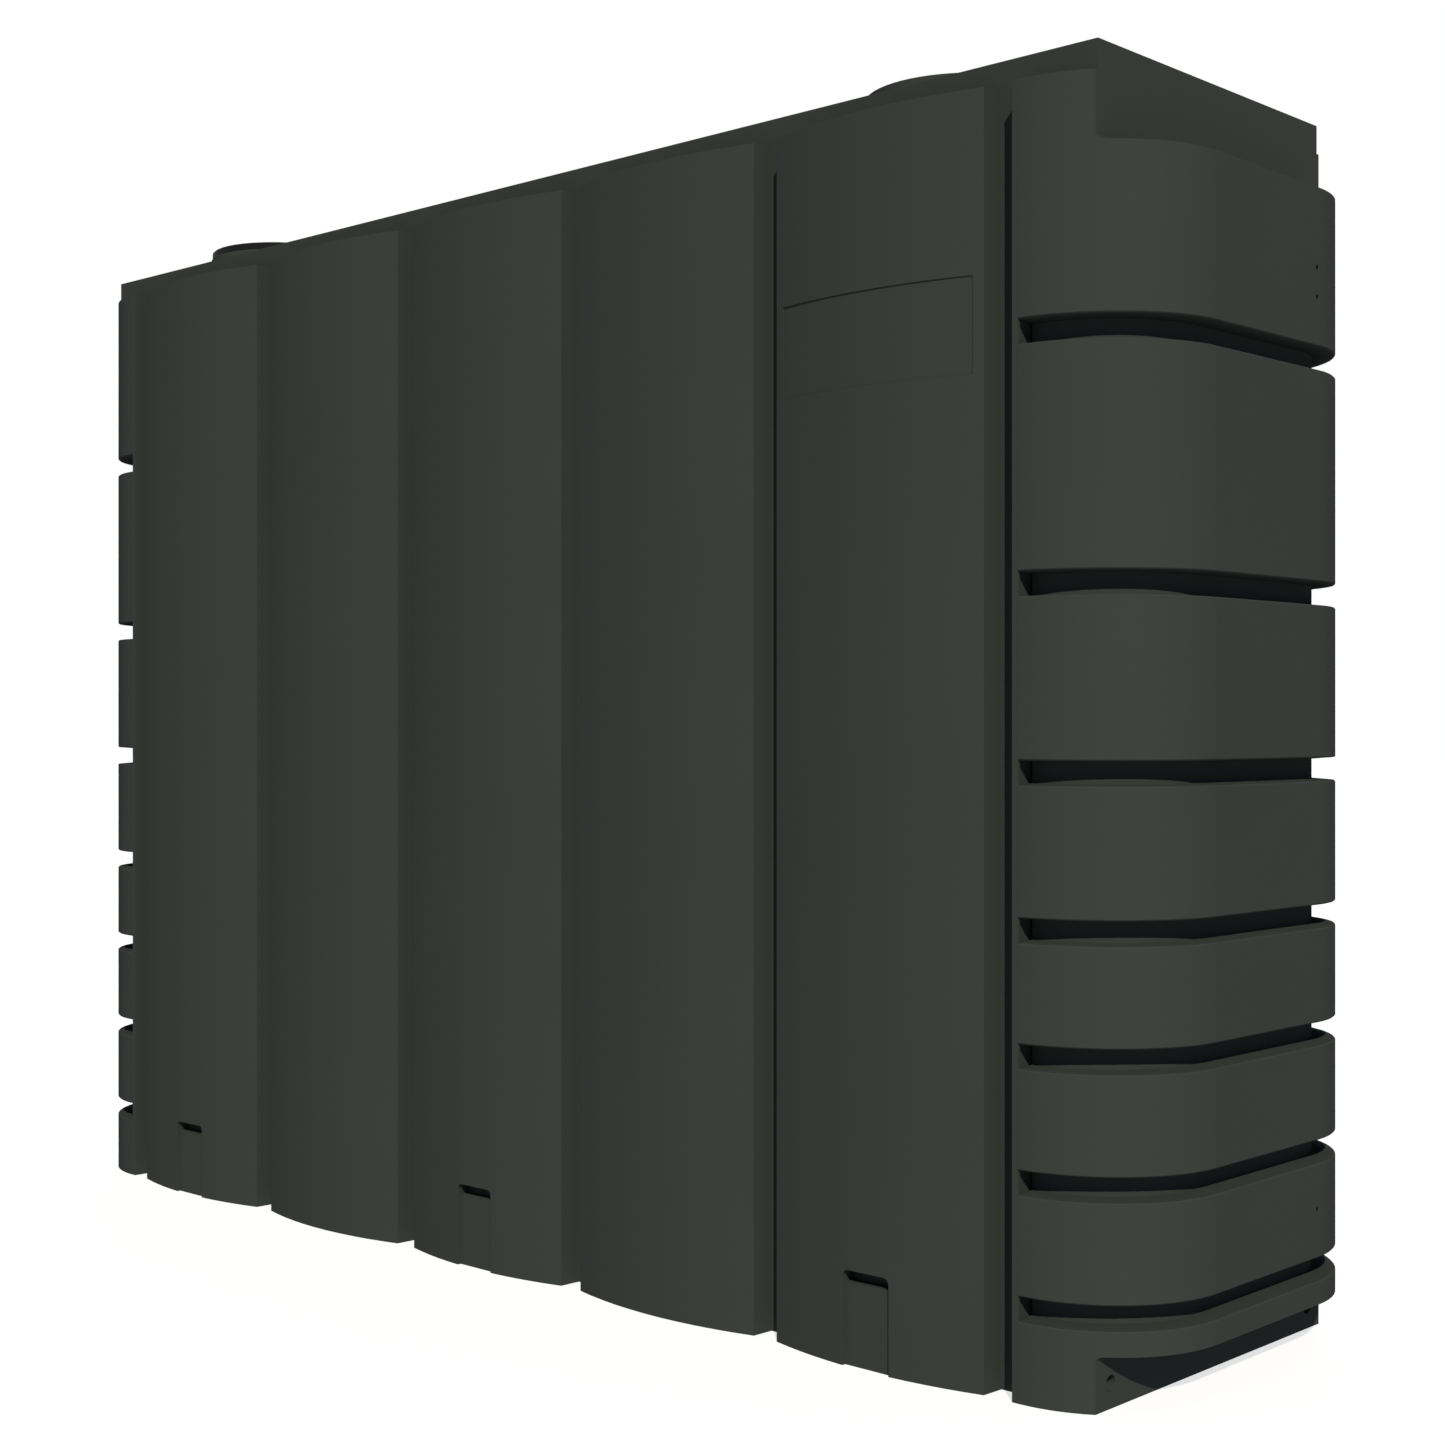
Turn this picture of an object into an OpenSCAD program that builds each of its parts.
// Slimline rainwater tank, one hollow plastic moulding with a leaf strainer and a twist lid on its roof.
// X runs along the tank, Y from front to back and Z up. The origin is the middle of the base.

/* [Body] */
// Height of the roof above the base
body_h = 2150; // [2050:10:2400]
// Depth of the core, between the floors of the front and back grooves
core_w = 700; // [600:10:900]
// Wall thickness of the moulding
wall_t = 7; // [5:0.5:9]

/* [Upright panels] */
// Panels on each long side
panel_count = 5; // [3:2:7]
// Distance from one upright groove to the next
panel_pitch = 500; // [470:10:560]
// Width of an upright groove at its floor
groove_floor_w = 50; // [36:1:60]
// How much each groove wall leans back over the groove's depth
groove_draft = 2; // [0.5:0.5:4]
// How far a panel's edges stand out from the core
panel_edge = 45; // [35:1:60]
// How far a panel's middle bulges past its edges
panel_crown = 30; // [20:1:40]
// Height of the plain band between the panels and the roof
roof_band = 50; // [30:5:90]

/* [End wraps] */
// Core length beyond the middle of the last upright groove
end_land = 160; // [156:1:190]
// How far the wrap's front flange stands out from the core
wrap_front = 43.5; // [34:0.5:55]
// How far the end face stands out from the end of the core
wrap_out = 102.5; // [98:0.5:130]
// Radius of the wrap's upright corners
wrap_r = 225; // [190:1:228]
// Height of the step at the top of each end
end_step_top = 160; // [120:5:240]
// Height of the step at the foot of each end
end_step_foot = 90; // [60:5:110]
// Radius in the inner corner of each step
step_r = 9; // [4:1:15]

/* [Level grooves] */
// Height of the lowest level groove's lower lip
rib_first_z = 130; // [120:2:160]
// Spacing of the four lowest level grooves
rib_pitch_low = 200; // [180:5:220]
// Spacing from the fourth to the fifth level groove
rib_pitch_5 = 250; // [220:5:280]
// Spacing from the fifth to the sixth level groove
rib_pitch_6 = 300; // [260:5:330]
// Spacing from the sixth to the seventh level groove
rib_pitch_7 = 400; // [330:5:420]
// Height of a level groove between its lips
rib_h = 40; // [24:1:50]
// Depth of a level groove
rib_depth = 40; // [24:1:50]
// How much a level groove narrows on each side towards its floor
rib_draft = 3; // [1:0.5:5]
// Bevel that breaks the lips of the level grooves
lip_bevel = 2; // [1:0.5:4]

/* [Outlet flats] */
// Width of the flat that takes an outlet fitting
flat_w = 99; // [80:1:120]
// Height of the opening of the flat above the base
flat_h = 162; // [150:1:190]
// Radius of the opening's upper corners
flat_corner_r = 12; // [6:1:20]
// Depth of the flat behind the panel's crown
flat_recess = 9; // [7:0.5:14]
// Height of the deeper slot over the flat
slot_h = 22; // [14:1:28]
// Depth of the slot behind the flat
slot_depth = 21; // [12:1:26]

/* [Bare recess] */
// Width of the shallow bare recess on the last front panel
bare_w = 408; // [300:4:420]
// Height of the recess
bare_h = 160; // [100:5:200]
// Distance from the roof down to the recess's lower edge
bare_down = 510; // [400:10:650]
// Depth of the recess
bare_t = 2; // [1:0.25:3]

/* [Small holes and sockets] */
// Radius of a tie-down socket
socket_r = 13.5; // [9:0.5:16]
// Depth of a tie-down socket
socket_deep = 30; // [20:1:45]
// Height of the tie-down sockets
socket_z = 40; // [32:1:46]
// Distance from the front of the core to the sockets
socket_in = 36; // [30:1:60]
// Radius of a gauge insert's thread hole
gauge_hole_r = 4.2; // [3:0.1:4.5]
// Outer radius of a gauge insert
gauge_insert_r = 7.5; // [6.5:0.25:9]
// Length of a gauge insert
gauge_insert_len = 18; // [12:1:20]
// Thickness of the plastic skin over a gauge insert
gauge_skin = 1.5; // [1:0.25:3]
// Distance of the gauge holes behind the middle of the end
gauge_y = 160; // [100:5:165]
// Height of the lower gauge hole
gauge_low_z = 253; // [210:1:290]
// Distance from the roof down to the upper pair's lower hole
gauge_high_down = 347; // [300:1:385]
// Spacing of the upper pair
gauge_pair = 50; // [40:1:80]

/* [Roof necks] */
// Outer radius of a neck at its rim
neck_r = 183; // [175:1:195]
// Extra radius of a neck where it meets the roof
neck_flare = 7; // [3:0.5:12]
// Bevel round the rim of a neck
neck_bevel = 2; // [1:0.5:3]
// Height of a neck above the roof
neck_h = 74; // [60:1:95]
// Wall thickness of a neck
neck_wall = 8; // [7:0.5:10]
// Distance from the left end of the core to the foot of the strainer's neck
inlet_margin = 2; // [1:1:200]
// Distance from the right end of the core to the middle of the access neck
access_inset = 526; // [300:5:900]
// Width of the access neck's rim
seat_rim = 11; // [9:0.5:14]
// Depth of the seat inside the access neck
seat_drop = 14; // [13:0.5:18]
// Width of the access neck from its outside to the hole through its seat
seat_w = 33; // [32:0.5:39]

/* [Leaf strainer] */
// How far the strainer's rim stays inside the neck's outer edge
strainer_rim_in = 3; // [1:0.5:5]
// Height of the strainer's rim above the neck
strainer_rim_h = 17; // [12:1:24]
// Width of the strainer's rim
strainer_rim_w = 11; // [9.5:0.5:14]
// Depth of the basket from the top of its rim to its floor
basket_deep = 105; // [80:1:130]
// How much the basket's wall leans in towards the floor
basket_taper = 8; // [4:0.5:12]
// Bevel round the top edge of the strainer's rim and of the lid's flange
rim_bevel = 2; // [1:0.5:3]
// Wall thickness of the basket
basket_t = 4; // [3:0.25:5]
// Width of the ledge that carries the mesh
ledge_w = 12; // [11:0.5:15]
// Thickness of the ledge, spokes, hoop and hub that carry the mesh
basket_floor_t = 6; // [4:0.5:9]
// Spokes under the mesh
spoke_count = 8; // [6:1:10]
// Width of a spoke
spoke_w = 6; // [4:0.5:9]
// Radius of the hub under the mesh
hub_r = 20; // [14:1:30]
// Radius of the hole in the hub
hub_hole_r = 10; // [5:1:12]
// Radius of the hoop between the hub and the ledge
hoop_r = 88; // [70:1:105]
// Thickness of the mesh sheet
mesh_t = 1.2; // [0.8:0.1:2]
// Distance from one mesh hole to the next
mesh_pitch = 28; // [27:1:36]
// Width of the wire land between two mesh holes
mesh_land = 4; // [2:0.5:7]
// Thickness of the ring that holds the mesh down
mesh_ring_t = 5; // [4:0.5:8]
// Screws in the mesh ring
mesh_screw_count = 8; // [4:1:12]
// Shank radius of a mesh ring screw
mesh_screw_r = 2; // [1.5:0.25:2.5]
// Length of a mesh ring screw
mesh_screw_len = 12; // [9:0.5:16]

/* [Access ring and lid] */
// Thickness of the gasket under the access ring
ring_gasket_t = 2; // [1.5:0.25:3]
// Thickness of the access ring's flange
ring_t = 8; // [6:0.5:9]
// Wall thickness of the access ring's skirt
ring_wall = 5; // [4:0.5:6]
// Height of the access ring from the top of its flange to the foot of its skirt
ring_h = 44; // [40:1:54]
// Screws in the access ring
ring_screw_count = 8; // [6:1:12]
// Shank radius of an access ring screw
ring_screw_r = 3; // [2:0.25:3.5]
// Length of an access ring screw below its head
ring_screw_len = 22; // [20:1:30]
// Lugs that lock the lid
lug_count = 4; // [3:1:4]
// Angle that each of the ring's lugs spans
ring_lug_a = 38; // [30:1:38]
// Angle that each of the lid's lugs spans
lid_lug_a = 34; // [26:1:34]
// How far the lugs of ring and lid stand out from their skirts
lug_out = 5.5; // [4:0.25:6]
// Height of a lug
lug_h = 7; // [5:0.5:8]
// Distance from the top of the ring's flange down to its lugs
lug_drop = 18; // [14:0.5:22]
// How far the lid's skirt reaches below its lugs
lug_land = 1; // [0.5:0.25:3]
// Overhang of the lid's flange past the ring's bore
lid_over = 8; // [6:0.5:8.5]
// Thickness of the lid's flange
lid_t = 7; // [5:0.5:9]
// Wall thickness of the lid's skirt and floor
lid_wall = 4.5; // [3.5:0.25:6]
// Thickness of the gasket under the lid
lid_gasket_t = 2; // [1.5:0.25:3]
// How much the lid's well narrows towards its floor
well_taper = 2; // [1:0.5:4]
// Width of the lid's grip bars
grip_w = 14; // [10:1:20]
// How far the grip bars stay below the top of the lid
grip_drop = 4; // [1:0.5:8]
// Notches round the edge of the lid
notch_count = 24; // [12:2:36]
// Radius of an edge notch
notch_r = 4; // [2:0.5:5]
// How far the middle of a notch lies outside the lid's edge
notch_out = 1.6; // [0.8:0.1:1.8]

/* [Fits] */
// Gap between a piece and what it drops into
drop_fit = 1; // [0.5:0.1:1.5]
// Gap round a screw in its hole
screw_fit = 0.2; // [0.1:0.05:0.5]
// Gap between the lid's lugs and the ring's lugs
lug_fit = 0.6; // [0.3:0.1:1]

/* [Hidden] */
$fn = 96;
// Segments of the panels' large crown circle
crown_fn = 720;
// Depth that joined forms share, and by which cutters run past the surface
lap = 10;
// Depth that small joined forms share
bite = 1;
// A screw's head and cross slot, as shares of its shank's radius
head_wide = 1.8;
head_high = 1.1;
head_top = 0.8;
cross_wide = 0.4;
cross_floor = 0.4;
// Body
core_l = panel_count * panel_pitch + 2 * end_land;
panel_top = body_h - roof_band;
panel_floor_w = panel_pitch - groove_floor_w;
panel_half = panel_floor_w / 2 - groove_draft;
panel_out = panel_edge + panel_crown;
crown_r = (panel_half * panel_half + panel_crown * panel_crown) / (2 * panel_crown);
// End wraps, with X measured from the end of the core
flange_x = -end_land + groove_floor_w / 2;
corner_x = wrap_out - wrap_r;
corner_y = core_w / 2 + wrap_front - wrap_r;
end_top = body_h - end_step_top;
bare_z = body_h - bare_down;
gauge_high_z = body_h - gauge_high_down;
rib_z = [
    for (i = [0:6])
        rib_first_z + min(i, 3) * rib_pitch_low
            + (i > 3 ? rib_pitch_5 : 0) + (i > 4 ? rib_pitch_6 : 0) + (i > 5 ? rib_pitch_7 : 0)
];
// Necks
neck_top = body_h + neck_h;
neck_bore_r = neck_r - neck_wall;
inlet_x = -core_l / 2 + inlet_margin + neck_r + neck_flare;
access_x = core_l / 2 - access_inset;
seat_r = neck_r - seat_rim;
seat_bore_r = neck_r - seat_w;
seat_z = neck_top - seat_drop;
// Strainer
strainer_r = neck_r - strainer_rim_in;
strainer_top = neck_top + strainer_rim_h;
basket_floor_z = strainer_top - basket_deep;
basket_foot_z = basket_floor_z - basket_floor_t;
basket_foot_r = neck_bore_r - drop_fit - basket_taper;
basket_in_r = basket_foot_r - basket_t;
mesh_r = basket_in_r - drop_fit;
ledge_r = basket_in_r - ledge_w;
mesh_screw_at = (mesh_r + ledge_r) / 2;
spoke_from = (hub_r + hub_hole_r) / 2;
// Access ring and lid
ring_gasket_z = seat_z + ring_gasket_t;
ring_top = ring_gasket_z + ring_t;
ring_out_r = seat_bore_r - drop_fit;
ring_bore_r = ring_out_r - ring_wall;
ring_flange_r = seat_r - drop_fit / 2;
ring_screw_at = (ring_flange_r + seat_bore_r) / 2;
ring_lug_top = ring_top - lug_drop;
lid_skirt_r = ring_bore_r - lug_out - drop_fit;
lid_lug_top = ring_lug_top - lug_h - lug_fit;
lid_flange_z = ring_top + lid_gasket_t;
lid_flange_r = ring_bore_r + lid_over;
lid_top = lid_flange_z + lid_t;
lid_foot = lid_lug_top - lug_h - lug_land;

module at_inlet() {
    translate([inlet_x, 0, 0]) children();
}

module at_access() {
    translate([access_x, 0, 0]) children();
}

module both_sides() {
    children();
    mirror([0, 1, 0]) children();
}

module both_ends() {
    children();
    mirror([1, 0, 0]) children();
}

// Extrudes a drawing towards the back from Y 0, with the drawing's Y upright
module extrude_y(h) {
    rotate([90, 0, 0]) translate([0, 0, -h]) linear_extrude(height = h) children();
}

// Flat ring between two radii, with its lower face at z
module ring(r_out, r_in, z, h) {
    translate([0, 0, z]) {
        difference() {
            cylinder(r = r_out, h = h);
            translate([0, 0, -lap]) cylinder(r = r_in, h = h + 2 * lap);
        }
    }
}

// What the level grooves take out of the core's corners, with X measured from the end of the core
module corner_grooves(d) {
    floor_r = wrap_r - rib_depth - d - bite;
    both_sides() translate([corner_x, corner_y, 0]) rotate_extrude(angle = 90) {
        for (z = rib_z) {
            translate([floor_r, z - d - bite]) square([wrap_r - floor_r, rib_h + 2 * (d + bite)]);
        }
    }
}

// Core box, drawn d inside its outer faces; behind each level groove the end wrap closes its corners
module core(d) {
    difference() {
        translate([-core_l / 2 + d, -core_w / 2 + d, d]) {
            cube([core_l - 2 * d, core_w - 2 * d, body_h - 2 * d]);
        }
        both_ends() translate([core_l / 2, 0, 0]) corner_grooves(d);
    }
}

// Plan of one upright panel, with Y measured outwards from the core
module panel_plan(d) {
    foot = panel_floor_w / 2 - d;
    lean = groove_draft / panel_edge;
    inner = lap + d;
    outer = panel_out + lap;
    intersection() {
        translate([0, panel_out - crown_r]) circle(r = crown_r - d, $fn = crown_fn);
        polygon([
            [-foot - inner * lean, -inner], [foot + inner * lean, -inner],
            [foot - outer * lean, outer], [-foot + outer * lean, outer]
        ]);
    }
}

// Door-shaped opening, with its upper corners rounded and its walls d outside
module door(d) {
    half = flat_w / 2 + d;
    round_x = flat_w / 2 - flat_corner_r;
    translate([-half, -lap]) square([2 * half, flat_h - flat_corner_r + lap]);
    translate([-round_x, 0]) square([2 * round_x, flat_h + d]);
    for (side = [-1, 1]) {
        translate([side * round_x, flat_h - flat_corner_r]) circle(r = flat_corner_r + d);
    }
}

// What an outlet flat takes out of a panel, with Y measured outwards from the core
module outlet_cut(d) {
    flat_y = panel_out - flat_recess - d;
    translate([0, flat_y, 0]) extrude_y(flat_recess + d + lap) door(d);
    translate([0, flat_y - slot_depth, 0]) extrude_y(slot_depth + lap) {
        intersection() {
            door(d);
            translate([-flat_w, flat_h - slot_h - d]) square([2 * flat_w, slot_h + 3 * d]);
        }
    }
}

// What the bare recess takes out of a panel's crown
module bare_cut(d) {
    difference() {
        translate([-bare_w / 2 - d, panel_edge / 2, bare_z - d]) {
            cube([bare_w + 2 * d, panel_out, bare_h + 2 * d]);
        }
        translate([0, panel_out - crown_r, 0]) {
            cylinder(r = crown_r - bare_t - d, h = body_h, $fn = crown_fn);
        }
    }
}

// One upright panel, drawn d inside its outer faces
module panel(d, has_flat, has_recess) {
    difference() {
        translate([0, 0, d]) linear_extrude(height = panel_top - 2 * d) panel_plan(d);
        if (has_flat) outlet_cut(d);
        if (has_recess) bare_cut(d);
    }
}

// All panels of one long side; only the front has outlet flats and the bare recess
module panel_row(d, front) {
    translate([0, core_w / 2, 0]) {
        for (i = [0:panel_count - 1]) {
            translate([(i - (panel_count - 1) / 2) * panel_pitch, 0, 0]) {
                panel(d, front && i % 2 == 0, front && i == panel_count - 1);
            }
        }
    }
}

// Upright section of an end wrap: radius against height, with the level grooves cut in
module wrap_section(d) {
    r = wrap_r - d;
    floor_r = wrap_r - rib_depth - d;
    b = d > 0 ? 0 : lip_bevel;
    polygon([
        [0, d], [r, d],
        for (z = rib_z) each [
            [r, z - d - b], [r - b, z - d], [floor_r, z - d + rib_draft],
            [floor_r, z + rib_h + d - rib_draft], [r - b, z + rib_h + d], [r, z + rib_h + d + b]
        ],
        [r, panel_top - d], [0, panel_top - d]
    ]);
}

// What a step takes out of an end wrap above a floor at Z 0, drawn d outside its faces
module step_cut(d, h) {
    rotate([90, 0, 0]) linear_extrude(height = 2 * core_w, center = true) {
        difference() {
            translate([-d, -d]) square([wrap_out + d + lap, h]);
            difference() {
                translate([-d, -d]) square(step_r + d);
                translate([step_r, step_r]) circle(r = step_r + d);
            }
        }
    }
}

// One end wrap, with X measured from the end of the core and drawn d inside its outer faces
module wrap(d) {
    difference() {
        union() {
            both_sides() {
                translate([corner_x, corner_y, 0]) rotate_extrude(angle = 90) wrap_section(d);
                translate([0, core_w / 2, d]) {
                    linear_extrude(height = panel_top - 2 * d) {
                        polygon([
                            [flange_x + d, -lap - d], [flange_x + groove_draft + d, wrap_front - d],
                            [corner_x, wrap_front - d], [corner_x, -lap - d]
                        ]);
                    }
                }
            }
            translate([corner_x, 0, 0]) {
                rotate([90, 0, 0]) linear_extrude(height = 2 * corner_y, center = true) wrap_section(d);
            }
        }
        translate([0, 0, end_top]) step_cut(d, end_step_top);
        translate([0, 0, end_step_foot]) mirror([0, 0, 1]) step_cut(d, end_step_foot + d + lap);
    }
}

// The moulding's form, drawn d inside its outer faces
module body_form(d) {
    core(d);
    panel_row(d, false);
    mirror([0, 1, 0]) panel_row(d, true);
    both_ends() translate([core_l / 2, 0, 0]) wrap(d);
}

// Outside of a roof neck
module neck() {
    foot_z = body_h - wall_t / 2;
    foot_r = neck_r + neck_flare * (neck_top - foot_z) / neck_h;
    rotate_extrude() {
        polygon([
            [0, foot_z], [foot_r, foot_z], [neck_r, neck_top - neck_bevel],
            [neck_r - neck_bevel, neck_top], [0, neck_top]
        ]);
    }
}

// Opening through the roof and the strainer's neck
module inlet_bore() {
    translate([0, 0, body_h - wall_t - lap]) cylinder(r = neck_bore_r, h = neck_h + wall_t + 2 * lap);
}

// Opening through the access neck, with the seat left standing inside its rim
module access_bore() {
    seat_foot = seat_z - neck_wall;
    bore_foot = body_h - wall_t - lap;
    translate([0, 0, bore_foot]) cylinder(r = neck_bore_r, h = seat_foot - bore_foot);
    translate([0, 0, bore_foot]) cylinder(r = seat_bore_r, h = neck_top + lap - bore_foot);
    translate([0, 0, seat_z]) cylinder(r = seat_r, h = seat_drop + lap);
}

// Children at each screw of a circle of screws
module screw_circle(at_r, count) {
    for (i = [0:count - 1]) {
        rotate([0, 0, (i + 0.5) * 360 / count]) translate([at_r, 0, 0]) children();
    }
}

// Clearance holes for the access ring's screws, through a flat piece with its lower face at z
module ring_screw_holes(z, h) {
    screw_circle(ring_screw_at, ring_screw_count) {
        translate([0, 0, z - lap]) cylinder(r = ring_screw_r + screw_fit, h = h + 2 * lap);
    }
}

// Clearance holes for the mesh ring's screws, through a flat piece with its lower face at z
module mesh_screw_holes(z, h) {
    screw_circle(mesh_screw_at, mesh_screw_count) {
        translate([0, 0, z - lap]) cylinder(r = mesh_screw_r + screw_fit, h = h + 2 * lap);
    }
}

// Tie-down sockets in the foot steps: bore when grow is 0, and its boss when grow is the wall
module sockets(grow) {
    both_ends() both_sides() {
        translate([core_l / 2 - socket_deep - grow, core_w / 2 - socket_in, socket_z]) {
            rotate([0, 90, 0]) cylinder(r = socket_r + grow, h = socket_deep + grow + lap);
        }
    }
}

// Children at each gauge hole of the right end, with Z pointing out of the end face
module gauge_holes() {
    for (z = [gauge_low_z, gauge_high_z, gauge_high_z + gauge_pair]) {
        translate([core_l / 2 + wrap_out, gauge_y, z]) rotate([0, 90, 0]) children();
    }
}

// Hollow of the moulding, with the sockets' and inserts' bosses left standing in it
module hollow() {
    boss_h = gauge_insert_len + gauge_skin + wall_t;
    difference() {
        body_form(wall_t);
        sockets(wall_t);
        gauge_holes() translate([0, 0, -boss_h]) cylinder(r = gauge_insert_r + wall_t, h = boss_h + lap);
    }
}

// What the gauge inserts and their open thread holes take out of the wall
module gauge_cuts() {
    gauge_holes() {
        insert_body();
        translate([0, 0, -2 * gauge_skin]) cylinder(r = gauge_hole_r, h = 2 * gauge_skin + lap);
    }
}

// Solid body of a gauge insert, under the skin of an end face at Z 0
module insert_body() {
    translate([0, 0, -gauge_skin - gauge_insert_len]) cylinder(r = gauge_insert_r, h = gauge_insert_len);
}

module tank_shell() {
    color([0.22, 0.23, 0.22]) {
        difference() {
            union() {
                body_form(0);
                at_inlet() neck();
                at_access() neck();
            }
            hollow();
            at_inlet() inlet_bore();
            at_access() access_bore();
            at_access() ring_screw_holes(seat_z - neck_wall, neck_wall);
            sockets(0);
            gauge_cuts();
        }
    }
}

module strainer_basket() {
    color([0.1, 0.11, 0.11]) at_inlet() {
        difference() {
            rotate_extrude() {
                polygon([
                    [ledge_r, basket_foot_z], [basket_foot_r, basket_foot_z],
                    [neck_bore_r - drop_fit, neck_top], [strainer_r, neck_top],
                    [strainer_r, strainer_top - rim_bevel], [strainer_r - rim_bevel, strainer_top],
                    [strainer_r - strainer_rim_w, strainer_top],
                    [basket_in_r, basket_floor_z], [ledge_r, basket_floor_z]
                ]);
            }
            mesh_screw_holes(basket_foot_z, basket_floor_t);
        }
        ring(hub_r, hub_hole_r, basket_foot_z, basket_floor_t);
        ring(hoop_r + spoke_w / 2, hoop_r - spoke_w / 2, basket_foot_z, basket_floor_t);
        for (i = [0:spoke_count - 1]) {
            rotate([0, 0, i * 360 / spoke_count]) {
                translate([spoke_from, -spoke_w / 2, basket_foot_z]) {
                    cube([ledge_r + bite - spoke_from, spoke_w, basket_floor_t]);
                }
            }
        }
    }
}

module strainer_mesh() {
    hole = mesh_pitch - mesh_land;
    reach = floor(ledge_r / mesh_pitch);
    color([0.6, 0.61, 0.6]) at_inlet() translate([0, 0, basket_floor_z]) {
        difference() {
            cylinder(r = mesh_r, h = mesh_t);
            for (i = [-reach:reach], j = [-reach:reach]) {
                corner = norm([abs(i) * mesh_pitch + hole / 2, abs(j) * mesh_pitch + hole / 2]);
                if (corner < ledge_r - bite) {
                    translate([i * mesh_pitch - hole / 2, j * mesh_pitch - hole / 2, -lap]) {
                        cube([hole, hole, mesh_t + 2 * lap]);
                    }
                }
            }
            mesh_screw_holes(0, mesh_t);
        }
    }
}

module mesh_ring() {
    color([0.12, 0.13, 0.13]) at_inlet() {
        difference() {
            ring(mesh_r, ledge_r, basket_floor_z + mesh_t, mesh_ring_t);
            mesh_screw_holes(basket_floor_z + mesh_t, mesh_ring_t);
        }
    }
}

// Pan-head screw that stands head up, with the underside of its head at Z 0
module screw(shank_r, len) {
    head_r = shank_r * head_wide;
    head_h = shank_r * head_high;
    cross_w = shank_r * cross_wide;
    difference() {
        union() {
            translate([0, 0, -len]) cylinder(r = shank_r, h = len + head_h / 2);
            cylinder(r1 = head_r, r2 = head_r * head_top, h = head_h);
        }
        for (turn = [0, 90]) {
            rotate([0, 0, turn]) {
                translate([-head_r / 2, -cross_w / 2, head_h * cross_floor]) {
                    cube([head_r, cross_w, head_h]);
                }
            }
        }
    }
}

module mesh_ring_screws() {
    color([0.7, 0.7, 0.7]) at_inlet() screw_circle(mesh_screw_at, mesh_screw_count) {
        translate([0, 0, basket_floor_z + mesh_t + mesh_ring_t]) screw(mesh_screw_r, mesh_screw_len);
    }
}

module ring_gasket() {
    color([0.05, 0.05, 0.05]) at_access() {
        difference() {
            ring(ring_flange_r - drop_fit, seat_bore_r + drop_fit, seat_z, ring_gasket_t);
            ring_screw_holes(seat_z, ring_gasket_t);
        }
    }
}

// Part of a flat ring that spans an angle, centred on X
module lug(r_out, r_in, z, angle) {
    rotate([0, 0, -angle / 2]) {
        rotate_extrude(angle = angle) translate([r_in, z]) square([r_out - r_in, lug_h]);
    }
}

module access_ring() {
    color([0.1, 0.11, 0.11]) at_access() {
        difference() {
            union() {
                ring(ring_flange_r, ring_bore_r, ring_gasket_z, ring_t);
                ring(ring_out_r, ring_bore_r, ring_top - ring_h, ring_h);
                for (i = [0:lug_count - 1]) {
                    rotate([0, 0, i * 360 / lug_count]) {
                        lug(ring_bore_r + bite, ring_bore_r - lug_out, ring_lug_top - lug_h, ring_lug_a);
                    }
                }
            }
            ring_screw_holes(ring_gasket_z, ring_t);
        }
    }
}

module access_ring_screws() {
    color([0.7, 0.7, 0.7]) at_access() screw_circle(ring_screw_at, ring_screw_count) {
        translate([0, 0, ring_top]) screw(ring_screw_r, ring_screw_len);
    }
}

module access_lid() {
    skirt_in = lid_skirt_r - lid_wall;
    grip_z = lid_foot + bite;
    color([0.1, 0.11, 0.11]) at_access() {
        difference() {
            rotate_extrude() {
                polygon([
                    [0, lid_foot], [lid_skirt_r, lid_foot], [lid_skirt_r, lid_flange_z],
                    [lid_flange_r, lid_flange_z], [lid_flange_r, lid_top - rim_bevel],
                    [lid_flange_r - rim_bevel, lid_top],
                    [skirt_in, lid_top], [skirt_in - well_taper, lid_foot + lid_wall],
                    [0, lid_foot + lid_wall]
                ]);
            }
            for (i = [0:notch_count - 1]) {
                rotate([0, 0, i * 360 / notch_count]) {
                    translate([lid_flange_r + notch_out, 0, lid_flange_z - bite / 2]) {
                        cylinder(r = notch_r, h = lid_t + lap);
                    }
                }
            }
        }
        for (turn = [0, 90]) {
            rotate([0, 0, turn + 45]) {
                translate([-skirt_in - bite, -grip_w / 2, grip_z]) {
                    cube([2 * (skirt_in + bite), grip_w, lid_top - grip_drop - grip_z]);
                }
            }
        }
        for (i = [0:lug_count - 1]) {
            rotate([0, 0, i * 360 / lug_count]) {
                lug(lid_skirt_r + lug_out, lid_skirt_r - bite, lid_lug_top - lug_h, lid_lug_a);
            }
        }
    }
}

module lid_gasket() {
    color([0.05, 0.05, 0.05]) at_access() {
        ring(lid_flange_r - drop_fit, ring_bore_r + drop_fit, ring_top, lid_gasket_t);
    }
}

module gauge_inserts() {
    color([0.7, 0.6, 0.35]) gauge_holes() {
        difference() {
            insert_body();
            translate([0, 0, -gauge_insert_len]) cylinder(r = gauge_hole_r, h = gauge_insert_len);
        }
    }
}

tank_shell();
strainer_basket();
strainer_mesh();
mesh_ring();
mesh_ring_screws();
access_ring();
ring_gasket();
access_ring_screws();
access_lid();
lid_gasket();
gauge_inserts();
